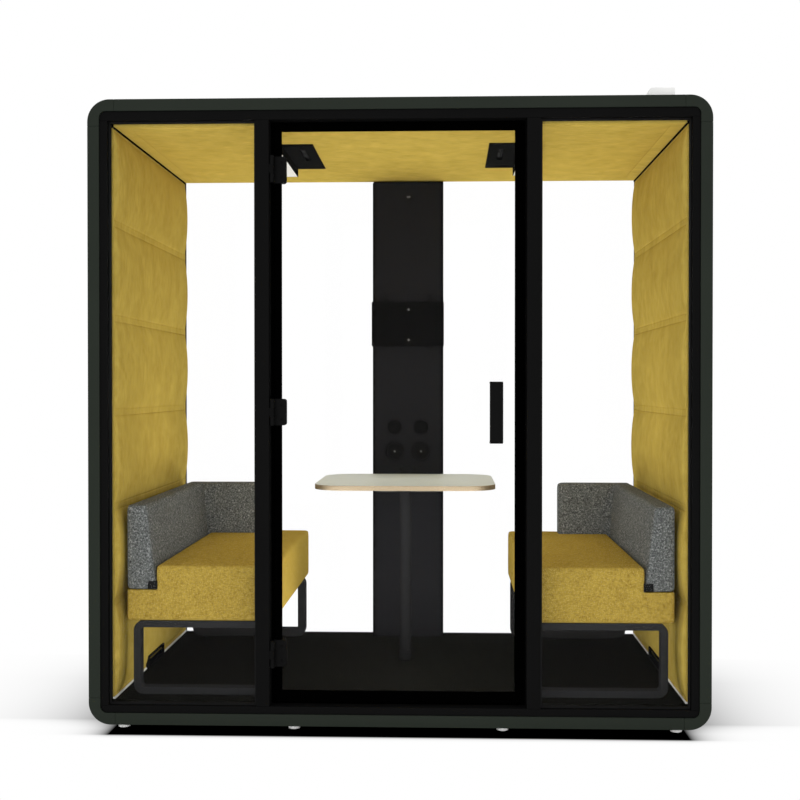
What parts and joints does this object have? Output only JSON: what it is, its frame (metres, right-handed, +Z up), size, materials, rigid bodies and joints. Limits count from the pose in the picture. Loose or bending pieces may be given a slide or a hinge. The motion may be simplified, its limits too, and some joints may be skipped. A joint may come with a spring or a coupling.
{
  "type": "acoustic office pod",
  "caption": "Free-standing acoustic office pod with a rounded shell, glass front and back, outward-swinging glass door, padded walls, facing benches, fixed table and media column.",
  "frame": {"origin": "on the ground under the middle of the shell", "axes": "+Z up, +X to the right seen from the door, +Y from the door to the back"},
  "size_m": [2.23, 1.4, 2.318],
  "materials": {
    "shell": "satin",
    "foot": "satin",
    "frame": "satin",
    "glass": "polished",
    "hinge": "satin",
    "handle": "satin",
    "carpet": "matte",
    "wall_fabric": "matte",
    "seat_fabric": "matte",
    "felt": "matte",
    "column": "satin",
    "screen_plate": "satin",
    "outlet": "satin",
    "button": "satin",
    "table_board": "satin",
    "steel": "satin",
    "ceiling_unit": "satin",
    "rotor": "satin",
    "diffuser": "matte",
    "roof_box": "satin"
  },
  "bodies": {
    "pod": {"wall_panel_left": "shell", "wall_panel_right": "shell", "roof_panel": "shell", "base_panel": "shell", "corner_profile_top_left": "shell", "corner_profile_top_right": "shell", "corner_profile_bottom_left": "shell", "corner_profile_bottom_right": "shell", "front_head_rail": "frame", "front_sill": "frame", "front_stile_left": "frame", "front_stile_right": "frame", "mullion_left": "frame", "mullion_right": "frame", "back_frame": "frame", "front_glass_left": "glass", "front_glass_right": "glass", "back_glass_left": "glass", "back_glass_right": "glass", "carpet_floor": "carpet", "wall_pad_left": "wall_fabric", "wall_pad_right": "wall_fabric", "ceiling_pad": "wall_fabric", "seat_left": "seat_fabric", "seat_right": "seat_fabric", "backrest_left": "felt", "backrest_right": "felt", "media_column": "column", "screen_plate": "screen_plate", "large_outlet_left": "outlet", "large_outlet_right": "outlet", "small_outlet_left": "outlet", "small_outlet_right": "outlet", "table_top": "table_board", "table_leg": "steel", "table_bracket": "steel", "bench_frame_left": "steel", "bench_frame_right": "steel", "ceiling_unit_left": "ceiling_unit", "ceiling_unit_right": "ceiling_unit", "lamp_diffuser_left": "diffuser", "lamp_diffuser_right": "diffuser", "roof_box": "roof_box"},
    "door": {"door_glass": "glass", "hinge_clamp_top": "hinge", "hinge_clamp_middle": "hinge", "hinge_clamp_bottom": "hinge", "door_handle": "handle"},
    "fan_left": {"fan_rotor_left": "rotor"},
    "fan_right": {"fan_rotor_right": "rotor"},
    "button_left": {"push_button_left": "button"},
    "button_right": {"push_button_right": "button"},
    "levelling_foot_front_1": {"foot_front_1": "foot"},
    "levelling_foot_front_2": {"foot_front_2": "foot"},
    "levelling_foot_front_3": {"foot_front_3": "foot"},
    "levelling_foot_front_4": {"foot_front_4": "foot"},
    "levelling_foot_back_1": {"foot_back_1": "foot"},
    "levelling_foot_back_2": {"foot_back_2": "foot"},
    "levelling_foot_back_3": {"foot_back_3": "foot"},
    "levelling_foot_back_4": {"foot_back_4": "foot"}
  },
  "joints": [
    {"name": "door_hinge", "type": "hinge", "parent": "pod", "child": "door", "pos_m": [-0.452, -0.684, 1.1425], "axis": [0, 0, -1], "range_deg": [0, 100]},
    {"name": "fan_left_spin", "type": "hinge", "parent": "pod", "child": "fan_left", "pos_m": [-0.39, -0.1385, 2.194], "axis": [0, 1, 0], "continuous": true},
    {"name": "fan_right_spin", "type": "hinge", "parent": "pod", "child": "fan_right", "pos_m": [0.39, -0.1385, 2.194], "axis": [0, 1, 0], "continuous": true},
    {"name": "button_left_press", "type": "slide", "parent": "pod", "child": "button_left", "axis": [0, 1, 0], "range_m": [0, 0.003], "stiffness_N_per_m": 400, "springref_m": -0.001},
    {"name": "button_right_press", "type": "slide", "parent": "pod", "child": "button_right", "axis": [0, 1, 0], "range_m": [0, 0.003], "stiffness_N_per_m": 400, "springref_m": -0.001},
    {"name": "foot_front_1_turn", "type": "hinge", "parent": "pod", "child": "levelling_foot_front_1", "pos_m": [-1, -0.64, 0.02], "axis": [0, 0, 1], "continuous": true},
    {"name": "foot_front_2_turn", "type": "hinge", "parent": "pod", "child": "levelling_foot_front_2", "pos_m": [-0.377, -0.64, 0.02], "axis": [0, 0, 1], "continuous": true},
    {"name": "foot_front_3_turn", "type": "hinge", "parent": "pod", "child": "levelling_foot_front_3", "pos_m": [0.377, -0.64, 0.02], "axis": [0, 0, 1], "continuous": true},
    {"name": "foot_front_4_turn", "type": "hinge", "parent": "pod", "child": "levelling_foot_front_4", "pos_m": [1, -0.64, 0.02], "axis": [0, 0, 1], "continuous": true},
    {"name": "foot_back_1_turn", "type": "hinge", "parent": "pod", "child": "levelling_foot_back_1", "pos_m": [-1, 0.64, 0.02], "axis": [0, 0, 1], "continuous": true},
    {"name": "foot_back_2_turn", "type": "hinge", "parent": "pod", "child": "levelling_foot_back_2", "pos_m": [-0.377, 0.64, 0.02], "axis": [0, 0, 1], "continuous": true},
    {"name": "foot_back_3_turn", "type": "hinge", "parent": "pod", "child": "levelling_foot_back_3", "pos_m": [0.377, 0.64, 0.02], "axis": [0, 0, 1], "continuous": true},
    {"name": "foot_back_4_turn", "type": "hinge", "parent": "pod", "child": "levelling_foot_back_4", "pos_m": [1, 0.64, 0.02], "axis": [0, 0, 1], "continuous": true}
  ]
}
